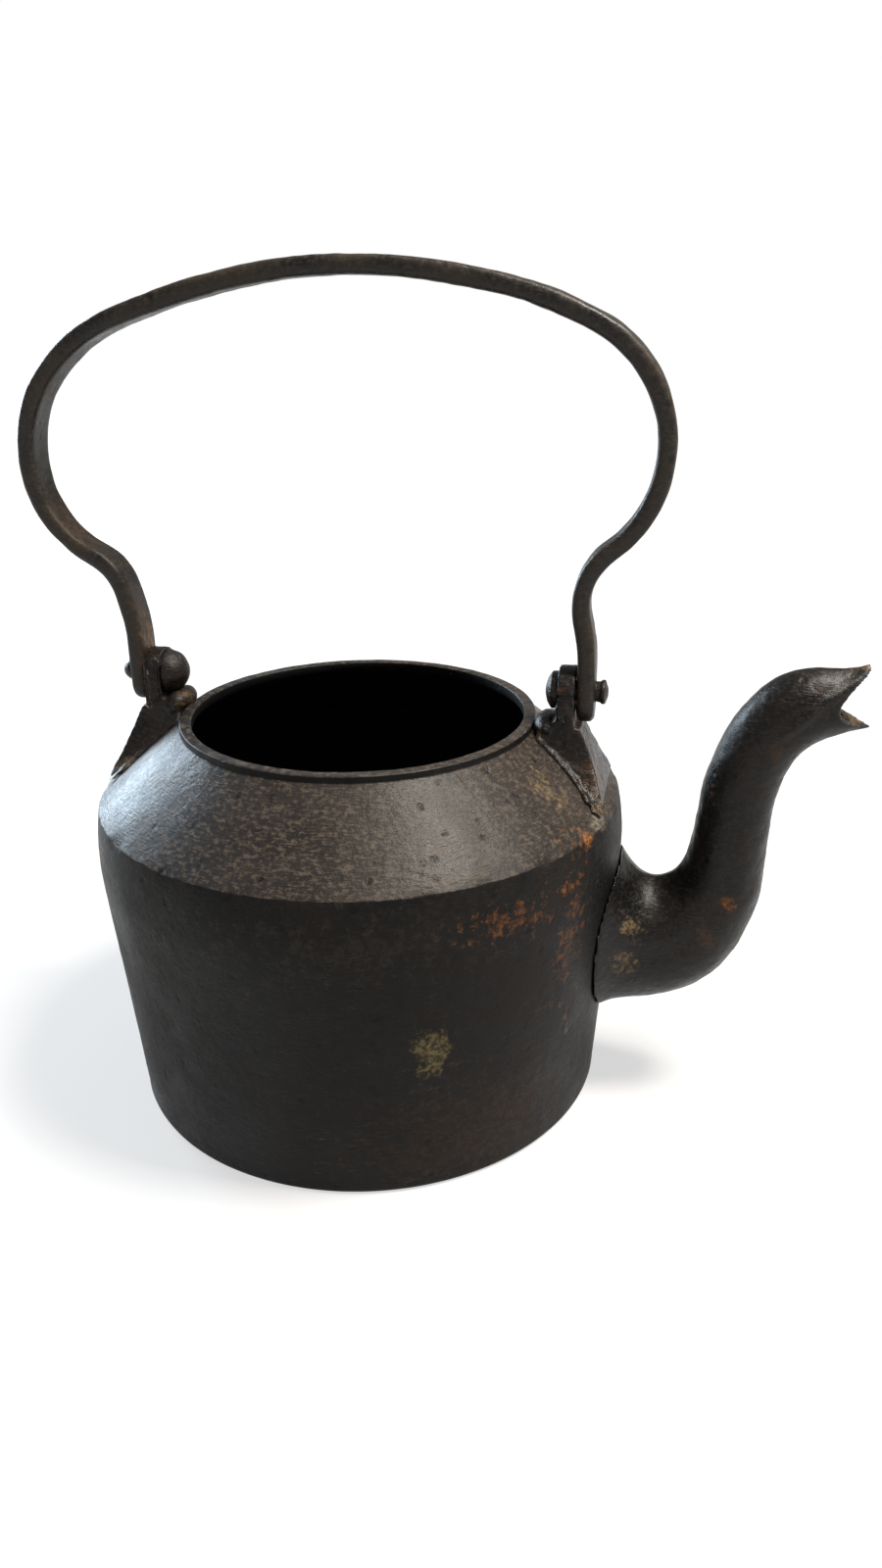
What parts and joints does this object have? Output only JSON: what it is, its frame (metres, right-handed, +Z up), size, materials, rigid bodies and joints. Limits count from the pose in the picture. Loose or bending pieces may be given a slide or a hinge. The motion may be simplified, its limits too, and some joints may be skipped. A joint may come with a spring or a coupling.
{
  "type": "cast iron kettle",
  "caption": "Stovetop kettle with a tapered pot, conical shoulder, open rim, gooseneck spout with an open beak, and a forged bail that swings between upright lugs.",
  "frame": {"origin": "centre of the base, on the flat face the kettle stands on", "axes": "+Z up along the pot's axis, +X towards the spout, +Y to the kettle's left seen from behind the spout"},
  "size_m": [0.2993, 0.196, 0.2984],
  "materials": {
    "pot_iron": "worn black-brown cast iron",
    "spout_iron": "worn black-brown cast iron",
    "lug_iron": "worn cast iron with rust at the pivots",
    "bail_iron": "forged dark iron with brown patina",
    "rivet_iron": "forged iron with rust"
  },
  "bodies": {
    "pot": {"kettle_body": "pot_iron", "spout": "spout_iron", "front_lug": "lug_iron", "rear_lug": "lug_iron", "front_rivet": "rivet_iron", "rear_rivet": "rivet_iron"},
    "bail": {"handle": "bail_iron"}
  },
  "joints": [
    {"name": "handle_pivot", "type": "hinge", "parent": "pot", "child": "bail", "pos_m": [0, 0, 0.1568], "axis": [1, 0, 0], "range_deg": [-116, 116]}
  ]
}
